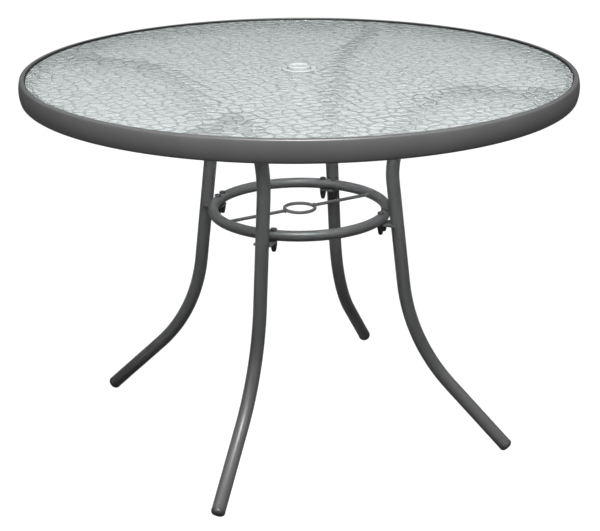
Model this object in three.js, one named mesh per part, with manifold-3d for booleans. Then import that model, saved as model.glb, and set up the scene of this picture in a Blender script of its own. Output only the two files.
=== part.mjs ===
// Round patio table with a glass top, four bent tube legs, a bracing hoop and an umbrella hole.
// Millimetres, +Z up. The origin is on the floor under the centre of the top.

import * as THREE from 'three';
import { mergeVertices } from 'three/addons/utils/BufferGeometryUtils.js';
import Module from 'manifold-3d';

const wasm = await Module();
wasm.setup();

// Overall sizes and clearances
const topDiameter = 1016;
const rimTopHeight = 711;
const touchGap = 0.3;
const holeClearance = 0.3;
const slideClearance = 0.4;
const cutOverrun = 5;

// Rolled sheet rim around the glass
const rimHeight = 39;
const rimSheet = 1.5;
const rimFaceRadius = 60;
const rimCornerRadius = 4;
const rimLipWidth = 11.5;
const rimLipRound = 1.6;
const rimLedgeWidth = 12;
const rimHemWidth = 5;

// Glass and the soft strip that it sits in
const glassThickness = 5;
const glassRecess = 3.5;
const glassEdgeBevel = 1;
const glassHoleDiameter = 51;
const gasketSeat = 1.2;
const gasketUpstand = 1.2;
const gasketEdgeDrop = 1.4;

// Umbrella hole ring and its lift-out cap
const poleBore = 40;
const ringFlangeDiameter = 64;
const ringFlangeThickness = 2;
const ringFlangeBevel = 0.9;
const ringSleeveDrop = 15;
const ringSnapBead = 1;
const ringSnapLength = 5;
const capSeatBore = 45;
const capSeatDepth = 2.2;
const capRise = 5.5;
const capEdgeRound = 1.6;
const capDishDepth = 1.2;
const capDishMargin = 4;
const capDishSlope = 1.5;
const capWall = 1.8;
const capSkirtLength = 12;
const capHeadThickness = 3;

// Bent leg tubes
const legDiameter = 25;
const legWall = 1.2;
const legEndGap = 3;
const shoulderStart = 337.5;
const shoulderRadius = 155;
const shinLean = 7.1;
const kneeHeight = 314;
const kneeRadius = 330;
const splayAngle = 45.7;

// Plastic foot plugs
const footCollarLength = 3;
const footCollarStep = 0.2;
const footEndRadius = 7;
const footSpigotLength = 18;
const footSoleCut = 1.4;

// Pressed saddles that hang the legs from the rim
const saddleSheet = 2.5;
const saddleLength = 72;
const saddleCheekDrop = 11;
const saddleSideGap = 0.5;
const saddleBoltInset = 15;
const saddleBoltSpacing = 32;

// Bracing hoop, tabs, umbrella loop and rods
const hoopHeight = 440;
const hoopLegGap = 5;
const hoopTubeDiameter = 20;
const tabThickness = 3;
const tabWidth = 34;
const tabInnerMargin = 2;
const tabCornerRadius = 7;
const loopOuterDiameter = 64.5;
const rodDiameter = 6.3;
const rodAzimuth = 7;

// Dome-headed bolts and the plastic-capped nuts on them
const boltDiameter = 6;
const boltHeadDiameter = 12.6;
const boltHeadHeight = 3.8;
const boltHeadEdge = 0.7;
const hoopBoltSpacing = 22;
const nutCapDiameter = 12.4;
const nutCapLength = 18;
const nutCapTipDiameter = 8.6;
const nutCapTipRound = 3.2;
const nutCollarLength = 5;
const nutBoreDepth = 12;
const boltEndMargin = 3;

// Facet counts
const rimFacets = 64;
const legFacets = 12;
const legBoreFacets = 8;
const shoulderSteps = 9;
const kneeSteps = 4;
const hoopFacets = 48;
const hoopTubeFacets = 10;
const loopFacets = 24;
const rodFacets = 8;
const plasticFacets = 24;
const boltFacets = 8;
const domeSteps = 3;
const footSteps = 3;

// Legs stand on the diagonals, so that each side of the table is open for knees
const quarterTurn = 90;
const corners = [
  { name: 'front_right', azimuth: -45 },
  { name: 'back_right', azimuth: 45 },
  { name: 'back_left', azimuth: 135 },
  { name: 'front_left', azimuth: 225 },
];

// Sizes worked out from the ones above
const rimRadius = topDiameter / 2;
const rimBottomHeight = rimTopHeight - rimHeight;
const lipInnerRadius = rimRadius - rimLipWidth;
const glassTopHeight = rimTopHeight - glassRecess;
const glassBottomHeight = glassTopHeight - glassThickness;
const gasketOuterRadius = lipInnerRadius - touchGap;
const glassRadius = gasketOuterRadius - gasketUpstand - touchGap;
const ledgeTopHeight = glassBottomHeight - gasketSeat - 2 * touchGap;
const ledgeInnerRadius = lipInnerRadius - rimLedgeWidth;

const legRadius = legDiameter / 2;
const legBoreRadius = legRadius - legWall;
const saddleTopHeight = ledgeTopHeight - rimSheet - touchGap;
const legTopHeight = saddleTopHeight - saddleSheet - touchGap - legRadius;
const saddleOuterRadius = lipInnerRadius - touchGap;
const saddleInnerRadius = saddleOuterRadius - saddleLength;
const legReach = lipInnerRadius - legEndGap;
const saddleBoltRadii = [
  saddleInnerRadius + saddleBoltInset,
  saddleInnerRadius + saddleBoltInset + saddleBoltSpacing,
];

const boltRadius = boltDiameter / 2;
const boltHoleRadius = boltRadius + holeClearance;
const hoopTubeRadius = hoopTubeDiameter / 2;
const tabTopHeight = hoopHeight - hoopTubeRadius - touchGap;
const tabBottomHeight = tabTopHeight - tabThickness;
const rodRadius = rodDiameter / 2;

const radians = THREE.MathUtils.degToRad;
const onAxis = (height) => [0, height];

// Materials
const finish = (name, color, roughness, metalness, extra = {}) => (
  new THREE.MeshStandardMaterial({ name, color, roughness, metalness, ...extra })
);
const coatedSteel = finish('powder_coated_steel', 0x4a4a4a, 0.5, 0.3);
const glass = finish('textured_glass', 0xc8d2d0, 0.25, 0, { transparent: true, opacity: 0.6 });
const softStrip = finish('gasket_pvc', 0x2c2d2e, 0.7, 0);
const clearPlastic = finish('hole_ring_plastic', 0xe2e5e6, 0.35, 0);
const footPlastic = finish('foot_plastic', 0x3a3a3a, 0.6, 0);
const boltSteel = finish('bolt_steel', 0x3c3c3c, 0.4, 0.6);
const nutPlastic = finish('nut_cap_plastic', 0x161616, 0.5, 0);

// Geometry helpers

// Turns an outline of [radius, height] points about the upright axis
function revolve(outline, facets) {
  const points = outline.map(([radius, height]) => new THREE.Vector2(radius, height));
  return new THREE.LatheGeometry(points, facets).rotateX(Math.PI / 2);
}

// Points of an arc in the outline's plane, from one angle to another in degrees
function arc([radius, height], size, from, to, steps) {
  return Array.from({ length: steps + 1 }, (_, i) => {
    const turn = radians(from + (to - from) * i / steps);
    return [radius + size * Math.cos(turn), height + size * Math.sin(turn)];
  });
}

const closed = (outline) => [...outline, outline[0]];

function polygon(radius, sides) {
  return Array.from({ length: sides }, (_, i) => {
    const turn = 2 * Math.PI * i / sides;
    return new THREE.Vector2(radius * Math.cos(turn), radius * Math.sin(turn));
  });
}

// A geometry as a solid for cutting, without the flat triangles at a pole
function solidOf(geometry) {
  const bare = geometry.clone();
  bare.deleteAttribute('normal');
  bare.deleteAttribute('uv');
  const merged = mergeVertices(bare);
  const corner = merged.index.array;
  const kept = [];
  for (let i = 0; i < corner.length; i += 3) {
    const [a, b, c] = [corner[i], corner[i + 1], corner[i + 2]];
    if (a !== b && b !== c && c !== a) kept.push(a, b, c);
  }
  return new wasm.Manifold(new wasm.Mesh({
    numProp: 3,
    vertProperties: new Float32Array(merged.attributes.position.array),
    triVerts: new Uint32Array(kept),
  }));
}

function geometryOf(solid) {
  const { vertProperties, triVerts } = solid.getMesh();
  const geometry = new THREE.BufferGeometry();
  geometry.setAttribute('position', new THREE.BufferAttribute(vertProperties, 3));
  geometry.setIndex(new THREE.BufferAttribute(triVerts, 1));
  geometry.computeVertexNormals();
  return geometry;
}

function cut(geometry, cutters) {
  const solid = cutters.reduce((body, cutter) => body.subtract(solidOf(cutter)), solidOf(geometry));
  return geometryOf(solid);
}

// An upright round cutter between two heights
function drill(radius, x, y, low, high) {
  const length = high - low;
  const cylinder = new THREE.CylinderGeometry(radius, radius, length, boltFacets);
  return cylinder.rotateX(Math.PI / 2).translate(x, y, low + length / 2);
}

// Rim, glass and gasket

function rimBand() {
  const faceCentre = [rimRadius - rimFaceRadius, rimBottomHeight + rimHeight / 2];
  const reach = rimFaceRadius - rimCornerRadius;
  const turn = Math.asin((rimHeight / 2 - rimCornerRadius) / reach);
  const faceEnd = THREE.MathUtils.radToDeg(turn);
  const cornerRadius = faceCentre[0] + reach * Math.cos(turn);
  const lowCorner = [cornerRadius, rimBottomHeight + rimCornerRadius];
  const highCorner = [cornerRadius, rimTopHeight - rimCornerRadius];
  const innerCorner = rimCornerRadius - rimSheet;
  const hemEnd = cornerRadius - rimHemWidth;
  const wallHidden = lipInnerRadius + rimSheet;
  const lipRoundCentre = [lipInnerRadius + rimLipRound, rimTopHeight - rimLipRound];
  return revolve(closed([
    [hemEnd, rimBottomHeight],
    ...arc(lowCorner, rimCornerRadius, -quarterTurn, -faceEnd, 2),
    ...arc(faceCentre, rimFaceRadius, -faceEnd, faceEnd, 4).slice(1, -1),
    ...arc(highCorner, rimCornerRadius, faceEnd, quarterTurn, 2),
    ...arc(lipRoundCentre, rimLipRound, quarterTurn, 2 * quarterTurn, 1),
    [lipInnerRadius, ledgeTopHeight],
    [ledgeInnerRadius, ledgeTopHeight],
    [ledgeInnerRadius, ledgeTopHeight - rimSheet],
    [wallHidden, ledgeTopHeight - rimSheet],
    [wallHidden, rimTopHeight - rimSheet],
    ...arc(highCorner, innerCorner, quarterTurn, faceEnd, 1),
    ...arc(faceCentre, rimFaceRadius - rimSheet, faceEnd, -faceEnd, 2).slice(1, -1),
    ...arc(lowCorner, innerCorner, -faceEnd, -quarterTurn, 1),
    [hemEnd, rimBottomHeight + rimSheet],
  ]), rimFacets);
}

function glassTop() {
  const hole = glassHoleDiameter / 2;
  return revolve(closed([
    [hole, glassBottomHeight],
    [glassRadius - glassEdgeBevel, glassBottomHeight],
    [glassRadius, glassBottomHeight + glassEdgeBevel],
    [glassRadius, glassTopHeight - glassEdgeBevel],
    [glassRadius - glassEdgeBevel, glassTopHeight],
    [hole, glassTopHeight],
  ]), rimFacets);
}

// A strip of L section: its seat lies on the ledge and its upstand lines the lip
function glassGasket() {
  const seatTop = ledgeTopHeight + touchGap + gasketSeat;
  const upstandInner = gasketOuterRadius - gasketUpstand;
  return revolve(closed([
    [ledgeInnerRadius, ledgeTopHeight + touchGap],
    [gasketOuterRadius, ledgeTopHeight + touchGap],
    [gasketOuterRadius, glassTopHeight - gasketEdgeDrop],
    [upstandInner, glassTopHeight - gasketEdgeDrop],
    [upstandInner, seatTop],
    [ledgeInnerRadius, seatTop],
  ]), rimFacets);
}

// Umbrella hole ring and cap

const flangeTopHeight = glassTopHeight + touchGap + ringFlangeThickness;
const capSeatHeight = flangeTopHeight - capSeatDepth;
const capTopHeight = flangeTopHeight + capRise;

// A flanged sleeve that snaps into the glass, with a seat for the cap in its mouth
function holeRing() {
  const sleeve = glassHoleDiameter / 2 - slideClearance;
  const flange = ringFlangeDiameter / 2;
  const snapTop = glassBottomHeight - touchGap;
  const sleeveEnd = glassBottomHeight - ringSleeveDrop;
  return revolve(closed([
    [poleBore / 2, sleeveEnd],
    [sleeve - ringSnapBead, sleeveEnd],
    [sleeve - ringSnapBead, snapTop - ringSnapLength],
    [sleeve + ringSnapBead, snapTop],
    [sleeve, snapTop],
    [sleeve, glassTopHeight + touchGap],
    [flange, glassTopHeight + touchGap],
    [flange, flangeTopHeight - ringFlangeBevel],
    [flange - ringFlangeBevel, flangeTopHeight],
    [capSeatBore / 2, flangeTopHeight],
    [capSeatBore / 2, capSeatHeight],
    [poleBore / 2, capSeatHeight],
  ]), plasticFacets);
}

// A hollow plug: a dished head that stands above the ring, over a thin skirt
function holeCap() {
  const head = capSeatBore / 2 - slideClearance;
  const skirt = poleBore / 2 - slideClearance;
  const seat = capSeatHeight + touchGap;
  const skirtEnd = seat - capSkirtLength;
  const dish = head - capDishMargin;
  return revolve([
    onAxis(capTopHeight - capHeadThickness),
    [skirt - capWall, capTopHeight - capHeadThickness],
    [skirt - capWall, skirtEnd],
    [skirt, skirtEnd],
    [skirt, seat],
    [head, seat],
    [head, capTopHeight - capEdgeRound],
    [head - capEdgeRound, capTopHeight],
    [dish, capTopHeight],
    [dish - capDishSlope, capTopHeight - capDishDepth],
    onAxis(capTopHeight - capDishDepth),
  ], plasticFacets);
}

// Legs

// A tube's centre line that is sampled only at its own stations
class StationPath extends THREE.Curve {
  constructor(stations) {
    super();
    this.stations = stations;
  }

  stationAt(t) {
    return this.stations[Math.round(t * (this.stations.length - 1))];
  }

  getPointAt(t, target = new THREE.Vector3()) {
    return target.copy(this.stationAt(t).point);
  }

  getTangentAt(t, target = new THREE.Vector3()) {
    return target.copy(this.stationAt(t).along);
  }
}

// Headings turn in the leg's upright plane: 0 runs inward, 90 straight down, more runs down and out
function heading(degrees) {
  const turn = radians(degrees);
  return new THREE.Vector3(-Math.cos(turn), 0, -Math.sin(turn));
}

function goStraight(stations, at, distance) {
  const along = heading(at);
  stations.push({ point: stations.at(-1).point.clone().addScaledVector(along, distance), along });
}

function goRound(stations, radius, from, to, steps) {
  const side = heading(from + quarterTurn);
  const centre = stations.at(-1).point.clone().addScaledVector(side, radius);
  for (let i = 1; i <= steps; i += 1) {
    const at = from + (to - from) * i / steps;
    const point = centre.clone().addScaledVector(heading(at + quarterTurn), -radius);
    stations.push({ point, along: heading(at) });
  }
}

// Height of the tube's end, so that the rounded plug on it just stands on its cut sole
function footEndHeight() {
  const splay = radians(splayAngle);
  const collarRadius = legRadius + footCollarStep;
  const inset = collarRadius - footEndRadius;
  const drop = footCollarLength * Math.cos(splay) + inset * Math.sin(splay) + footEndRadius;
  return drop - footSoleCut;
}

function legStations() {
  const start = new THREE.Vector3(legReach, 0, legTopHeight);
  const stations = [{ point: start, along: heading(0) }];
  goStraight(stations, 0, legReach - shoulderStart);
  goRound(stations, shoulderRadius, 0, quarterTurn + shinLean, shoulderSteps);
  const shinDrop = stations.at(-1).point.z - kneeHeight;
  goStraight(stations, quarterTurn + shinLean, shinDrop / Math.cos(radians(shinLean)));
  goRound(stations, kneeRadius, quarterTurn + shinLean, quarterTurn + splayAngle, kneeSteps);
  const splayDrop = stations.at(-1).point.z - footEndHeight();
  goStraight(stations, quarterTurn + splayAngle, splayDrop / Math.cos(radians(splayAngle)));
  return stations;
}

const stations = legStations();
const shinTop = stations[1 + shoulderSteps].point;
const legEnd = stations.at(-1);

// The leg's distance from the table's axis at a height on its straight shin
const shinRadiusAt = (height) => shinTop.x + (shinTop.z - height) * Math.tan(radians(shinLean));

function tubeAlong(path, radius, boreRadius) {
  const section = new THREE.Shape(polygon(radius, legFacets));
  if (boreRadius > 0) section.holes.push(new THREE.Path(polygon(boreRadius, legBoreFacets)));
  return new THREE.ExtrudeGeometry(section, {
    steps: path.stations.length - 1,
    extrudePath: path,
  });
}

// The bent tube, drilled through for its two saddle bolts
function legTube() {
  const tube = tubeAlong(new StationPath(stations), legRadius, legBoreRadius);
  const low = legTopHeight - legRadius - cutOverrun;
  const high = legTopHeight + legRadius + cutOverrun;
  return cut(tube, saddleBoltRadii.map((radius) => drill(boltHoleRadius, radius, 0, low, high)));
}

// A plug with a spigot in the tube and a round end, cut flat where it stands on the floor
function footPlug() {
  const collar = legRadius + footCollarStep;
  const spigot = legBoreRadius * Math.cos(Math.PI / legBoreFacets) - touchGap;
  const roundCentre = [collar - footEndRadius, footCollarLength];
  const plug = revolve([
    onAxis(-footSpigotLength),
    [spigot, -footSpigotLength],
    [spigot, touchGap],
    [collar, touchGap],
    ...arc(roundCentre, footEndRadius, 0, quarterTurn, footSteps),
    onAxis(footCollarLength + footEndRadius),
  ], legFacets);
  const tilted = plug.rotateY(Math.PI - radians(splayAngle));
  const placed = tilted.translate(legEnd.point.x, 0, legEnd.point.z);
  const size = 2 * (footSpigotLength + footEndRadius + footCollarLength);
  const floor = new THREE.BoxGeometry(size, size, size);
  return cut(placed, [floor.translate(legEnd.point.x, 0, -size / 2)]);
}

// Saddles under the rim's ledge

// A channel that opens downwards and lies over the leg's end, drilled for two bolts
function rimSaddle() {
  const inner = legRadius + saddleSideGap;
  const outer = inner + saddleSheet;
  const cheekEnd = saddleTopHeight - saddleSheet - saddleCheekDrop;
  const section = new THREE.Shape([
    new THREE.Vector2(-outer, cheekEnd),
    new THREE.Vector2(-inner, cheekEnd),
    new THREE.Vector2(-inner, saddleTopHeight - saddleSheet),
    new THREE.Vector2(inner, saddleTopHeight - saddleSheet),
    new THREE.Vector2(inner, cheekEnd),
    new THREE.Vector2(outer, cheekEnd),
    new THREE.Vector2(outer, saddleTopHeight - saddleSheet),
    new THREE.Vector2(outer - saddleSheet, saddleTopHeight),
    new THREE.Vector2(saddleSheet - outer, saddleTopHeight),
    new THREE.Vector2(-outer, saddleTopHeight - saddleSheet),
  ]);
  const channel = new THREE.ExtrudeGeometry(section, { depth: saddleLength, bevelEnabled: false });
  channel.rotateX(Math.PI / 2).rotateZ(Math.PI / 2).translate(saddleInnerRadius, 0, 0);
  const low = saddleTopHeight - saddleSheet - cutOverrun;
  const high = saddleTopHeight + cutOverrun;
  return cut(channel, saddleBoltRadii.map((radius) => drill(boltHoleRadius, radius, 0, low, high)));
}

// Hoop, tabs, loop and rods

// The hoop stands just inside the four shins
const hoopRadius = shinRadiusAt(hoopHeight) - legRadius - hoopLegGap - hoopTubeRadius;
const tabInnerRadius = hoopRadius - boltHeadDiameter / 2 - tabInnerMargin;
const hoopBoltTurn = Math.asin(hoopBoltSpacing / 2 / hoopRadius);
const hoopBoltPlaces = [-hoopBoltTurn, hoopBoltTurn].map((turn) => ({
  x: hoopRadius * Math.cos(turn),
  y: hoopRadius * Math.sin(turn),
}));

// The hoop is drilled where its bolts pass down to the tabs
function supportHoop() {
  const hoop = new THREE.TorusGeometry(hoopRadius, hoopTubeRadius, hoopTubeFacets, hoopFacets);
  hoop.translate(0, 0, hoopHeight);
  const low = hoopHeight - hoopTubeRadius - cutOverrun;
  const high = hoopHeight + hoopTubeRadius + cutOverrun;
  const drills = corners.flatMap(({ azimuth }) => hoopBoltPlaces.map(({ x, y }) => (
    drill(boltHoleRadius, x, y, low, high).rotateZ(radians(azimuth))
  )));
  return cut(hoop, drills);
}

// A plate with a rounded inner end that is notched round the leg and drilled for two bolts
function hoopTab() {
  const half = tabWidth / 2;
  const end = shinRadiusAt(tabTopHeight);
  const centre = tabInnerRadius + tabCornerRadius;
  const plate = new THREE.Shape();
  plate.moveTo(end, -half);
  plate.lineTo(end, half);
  plate.lineTo(centre, half);
  plate.absarc(centre, half - tabCornerRadius, tabCornerRadius, Math.PI / 2, Math.PI);
  plate.absarc(centre, tabCornerRadius - half, tabCornerRadius, Math.PI, 3 * Math.PI / 2);
  plate.lineTo(end, -half);
  const slab = new THREE.ExtrudeGeometry(plate, {
    depth: tabThickness,
    bevelEnabled: false,
    curveSegments: domeSteps,
  });
  slab.translate(0, 0, tabBottomHeight);
  const low = tabBottomHeight - cutOverrun;
  const high = tabTopHeight + cutOverrun;
  const leg = tubeAlong(new StationPath(stations), legRadius + touchGap, 0);
  return cut(slab, [leg, ...hoopBoltPlaces.map(({ x, y }) => drill(boltHoleRadius, x, y, low, high))]);
}

const loopRadius = loopOuterDiameter / 2 - rodRadius;

function umbrellaLoop() {
  const loop = new THREE.TorusGeometry(loopRadius, rodRadius, rodFacets, loopFacets);
  return loop.translate(0, 0, hoopHeight);
}

// A straight rod from the loop out to the hoop's inner side
function hoopRod() {
  const inner = loopOuterDiameter / 2 + touchGap;
  const hoopInner = (hoopRadius - hoopTubeRadius) * Math.cos(Math.PI / hoopFacets);
  const length = hoopInner - touchGap - inner;
  const rod = new THREE.CylinderGeometry(rodRadius, rodRadius, length, rodFacets);
  return rod.rotateZ(Math.PI / 2).translate(inner + length / 2, 0, hoopHeight);
}

// Bolts and nuts

// A bolt that hangs from its seat: the dome stands above the origin and the shank runs down
function domeBolt(shankLength) {
  const head = boltHeadDiameter / 2;
  const rise = boltHeadHeight - boltHeadEdge;
  const dome = Array.from({ length: domeSteps }, (_, i) => {
    const turn = Math.PI / 2 * i / domeSteps;
    return [head * Math.cos(turn), boltHeadEdge + rise * Math.sin(turn)];
  });
  return revolve([
    onAxis(-shankLength),
    [boltRadius, -shankLength],
    [boltRadius, 0],
    [head, 0],
    ...dome,
    onAxis(boltHeadHeight),
  ], boltFacets);
}

const hoopBoltSeat = hoopHeight + hoopTubeRadius + touchGap;
const nutTopHeight = tabBottomHeight - touchGap;
const hoopBoltLength = hoopBoltSeat - nutTopHeight + nutBoreDepth - boltEndMargin;
const saddleBoltSeat = legTopHeight - legRadius - touchGap;
const saddleBoltLength = saddleTopHeight - saddleBoltSeat;

// A nut in a tapering plastic cap with a blind bore from above
function cappedNut() {
  const body = nutCapDiameter / 2;
  const tip = nutCapTipDiameter / 2;
  return revolve([
    onAxis(-nutCapLength),
    [tip - nutCapTipRound, -nutCapLength],
    [tip, nutCapTipRound - nutCapLength],
    [body, -nutCollarLength],
    [body, 0],
    [boltHoleRadius, 0],
    [boltHoleRadius, -nutBoreDepth],
    onAxis(-nutBoreDepth),
  ], boltFacets);
}

// Assembly

const table = new THREE.Group();

function place(parent, name, geometry, material, position = [0, 0, 0]) {
  const mesh = new THREE.Mesh(geometry, material);
  mesh.name = name;
  mesh.position.set(...position);
  parent.add(mesh);
  return mesh;
}

place(table, 'rim_band', rimBand(), coatedSteel);
place(table, 'glass_gasket', glassGasket(), softStrip);
place(table, 'glass_top', glassTop(), glass);
place(table, 'hole_ring', holeRing(), clearPlastic);
place(table, 'hole_cap', holeCap(), clearPlastic);
place(table, 'support_hoop', supportHoop(), coatedSteel);

const brace = new THREE.Group();
brace.rotation.z = radians(rodAzimuth);
table.add(brace);
const rod = hoopRod();
place(brace, 'umbrella_loop', umbrellaLoop(), coatedSteel);
place(brace, 'hoop_rod_right', rod, coatedSteel);
place(brace, 'hoop_rod_left', rod, coatedSteel).rotation.z = Math.PI;

const leg = legTube();
const plug = footPlug();
const saddle = rimSaddle();
const tab = hoopTab();
const hoopBolt = domeBolt(hoopBoltLength);
const saddleBolt = domeBolt(saddleBoltLength);
const nut = cappedNut();

for (const { name, azimuth } of corners) {
  const corner = new THREE.Group();
  corner.rotation.z = radians(azimuth);
  table.add(corner);
  place(corner, `leg_${name}`, leg, coatedSteel);
  place(corner, `foot_plug_${name}`, plug, footPlastic);
  place(corner, `rim_saddle_${name}`, saddle, coatedSteel);
  place(corner, `hoop_tab_${name}`, tab, coatedSteel);
  saddleBoltRadii.forEach((radius, i) => {
    const bolt = place(corner, `saddle_bolt_${name}_${i + 1}`, saddleBolt, boltSteel);
    bolt.position.set(radius, 0, saddleBoltSeat);
    bolt.rotation.x = Math.PI;
  });
  hoopBoltPlaces.forEach(({ x, y }, i) => {
    place(corner, `hoop_bolt_${name}_${i + 1}`, hoopBolt, boltSteel, [x, y, hoopBoltSeat]);
    place(corner, `cap_nut_${name}_${i + 1}`, nut, nutPlastic, [x, y, nutTopHeight]);
  });
}

export default table;
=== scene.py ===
"""Round patio table with a textured glass top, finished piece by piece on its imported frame."""

import math

import bpy
from bpy.props import FloatProperty, FloatVectorProperty, IntProperty, PointerProperty
from mathutils import Matrix, Vector


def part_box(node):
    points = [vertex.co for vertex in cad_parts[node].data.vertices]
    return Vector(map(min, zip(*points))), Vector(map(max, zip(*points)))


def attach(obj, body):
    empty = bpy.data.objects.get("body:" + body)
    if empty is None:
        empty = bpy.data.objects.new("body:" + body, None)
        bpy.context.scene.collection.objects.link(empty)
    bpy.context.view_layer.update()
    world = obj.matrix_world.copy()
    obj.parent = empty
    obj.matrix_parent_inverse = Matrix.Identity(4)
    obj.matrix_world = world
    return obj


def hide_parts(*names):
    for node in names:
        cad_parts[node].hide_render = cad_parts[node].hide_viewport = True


bl_info = {
    "name": "Glass Patio Table",
    "version": (1, 0, 0),
    "blender": (4, 5, 0),
    "location": "View3D > Sidebar > Patio Table",
    "description": "Builds the finished pieces of a round glass patio table on its frame",
    "category": "Add Mesh",
}

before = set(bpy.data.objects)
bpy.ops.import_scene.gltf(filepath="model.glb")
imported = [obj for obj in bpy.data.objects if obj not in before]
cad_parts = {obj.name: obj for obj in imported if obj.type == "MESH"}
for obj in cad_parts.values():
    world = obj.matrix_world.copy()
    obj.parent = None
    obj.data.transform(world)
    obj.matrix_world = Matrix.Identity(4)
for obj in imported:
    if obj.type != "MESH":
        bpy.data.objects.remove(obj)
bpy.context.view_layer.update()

TABLE_BODY = "table"
CAP_BODY = "cap"

# The legs stand on the diagonals
CORNERS = {
    "front_right": math.radians(-45),
    "back_right": math.radians(45),
    "back_left": math.radians(135),
    "front_left": math.radians(225),
}

# Places that the frame gives
RIM_LOW, RIM_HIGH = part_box("rim_band")
GLASS_LOW, GLASS_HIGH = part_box("glass_top")
GASKET_LOW, GASKET_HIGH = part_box("glass_gasket")
RING_LOW, RING_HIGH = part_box("hole_ring")
CAP_LOW, CAP_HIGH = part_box("hole_cap")
HOOP_LOW, HOOP_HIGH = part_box("support_hoop")
TAB_LOW, TAB_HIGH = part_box("hoop_tab_front_right")
LEG_LOW, LEG_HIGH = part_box("leg_front_right")

# Vertices that are closer together than this are merged
MERGE_DISTANCE = 1e-6
# The frame leaves this much between pieces that touch
TOUCH_GAP = 0.0003
# The painted shade on the rim's wall round the glass: its reach past the gasket, and down beside it
PAINTED_SHADE_REACH = 0.0008
PAINTED_SHADE_DEPTH = 0.002
# How far down from the glass's upper face its pebbles are shaded
PEBBLED_SKIN = 0.002
# Share of a lamp's light, in red, green and blue, that passes the pane
THROUGH_GLASS = (0.52, 0.53, 0.53, 1)
# A cutter is this many times as long as the tab that it cuts is thick
CUTTER_LENGTHS = 10

# The material of each slot
FINISHES = {
    "coated_steel": "powder_coated_steel",
    "textured_glass": "obscure_tempered_glass",
    "gasket_rubber": "soft_pvc",
    "clear_plastic": "natural_polypropylene",
    "foot_plastic": "moulded_polyethylene",
    "bolt_steel": "black_zinc_steel",
    "nut_plastic": "moulded_nylon",
}


def linear(hex_code):
    """Turns an sRGB hex code into Blender's linear colour."""
    channels = [int(hex_code[i:i + 2], 16) / 255 for i in (0, 2, 4)]
    return [c / 12.92 if c <= 0.04045 else ((c + 0.055) / 1.055) ** 2.4 for c in channels]


def length(name, description, default):
    """A length in metres that a user can set."""
    return FloatProperty(
        name=name, description=description, default=default, unit="LENGTH", precision=4
    )


def turn(name, description, degrees):
    """An angle that a user can set, given here in degrees."""
    return FloatProperty(
        name=name, description=description, default=math.radians(degrees), subtype="ANGLE"
    )


def count(name, description, default):
    """A number of segments that a user can set."""
    return IntProperty(name=name, description=description, default=default, min=1)


def colour(name, description, hex_code):
    """A colour that a user can set, given here as sRGB hex."""
    return FloatVectorProperty(
        name=name, description=description, default=linear(hex_code), subtype="COLOR", min=0, max=1
    )


# Sizes and colours


class PatioTableTop(bpy.types.PropertyGroup):
    """Sizes of the rim, the glass, the gasket, the hole ring and the cap."""

    sheet: length("Rim sheet", "Thickness of the rolled steel", 0.0015)
    face_radius: length("Face radius", "Radius of the rim's bulging outer face", 0.06)
    corner_radius: length("Corner radius", "Rounding at the top and foot of the rim's face", 0.004)
    lip_width: length("Lip width", "Width of the flat band round the glass", 0.0115)
    lip_round: length("Lip rounding", "Rounding where the lip turns down to the glass", 0.0016)
    hem_width: length("Hem width", "Width of the turned-in lower edge", 0.005)
    gasket_wall: length("Gasket wall", "Thickness of the soft strip", 0.0012)
    glass_bevel: length("Glass edge", "Bevel ground on the edges of the glass", 0.0008)
    pebble_size: length("Pebble size", "Distance between the pebbles cast in the glass", 0.022)
    pebble_depth: length("Pebble depth", "Depth of the creases between pebbles", 0.0003)
    pole_bore: length("Pole bore", "Diameter of the hole for the umbrella pole", 0.04)
    cap_seat: length("Cap seat", "Diameter of the seat in the ring's mouth", 0.045)
    flange: length("Ring flange", "Thickness of the ring's flange on the glass", 0.002)
    flange_round: length("Flange rounding", "Rounding of the flange's upper edge", 0.0009)
    sleeve: length("Ring sleeve", "Diameter of the ring's sleeve in the glass", 0.0502)
    barb: length("Ring barb", "How far the barb under the glass stands out", 0.001)
    barb_length: length("Barb length", "Height of the barb's slope", 0.005)
    cap_wall: length("Cap wall", "Thickness of the cap's skirt", 0.0018)
    cap_skirt: length("Cap skirt", "Length of the cap's skirt below its seat", 0.012)
    cap_clearance: length("Cap clearance", "Gap between the skirt and the pole bore", 0.0004)
    cap_round: length("Cap rounding", "Rounding of the cap's outer edge", 0.0016)
    cap_rim: length("Cap rim", "Width of the raised rim round the cap's hollow", 0.004)
    cap_crown: length("Cap crown", "Depth of the cap's inside below its top", 0.003)
    cap_dish: length("Cap dish", "Depth of the hollow in the cap's head", 0.0012)
    moulded_edge: length("Moulded edge", "Rounding of the edges of ring and cap", 0.0002)
    around: count("Steps round the rim", "Facets round the rim and the gasket", 256)
    face_steps: count("Steps of the face", "Facets across the rim's bulging face", 12)
    round_steps: count("Steps of a rounding", "Facets across the roundings of rim and flange", 5)
    inner_steps: count("Steps of the sheet's inside", "Facets across the inner roundings", 4)
    ring_around: count("Steps round the ring", "Facets round the ring and the cap", 96)
    cap_steps: count("Steps of the cap's edge", "Facets across the cap's roundings", 6)
    glass_around: count("Steps round the glass", "Facets round the pebbled glass", 640)
    glass_rings: count("Rings of the glass", "Rings from the hole out to the edge", 140)


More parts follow.
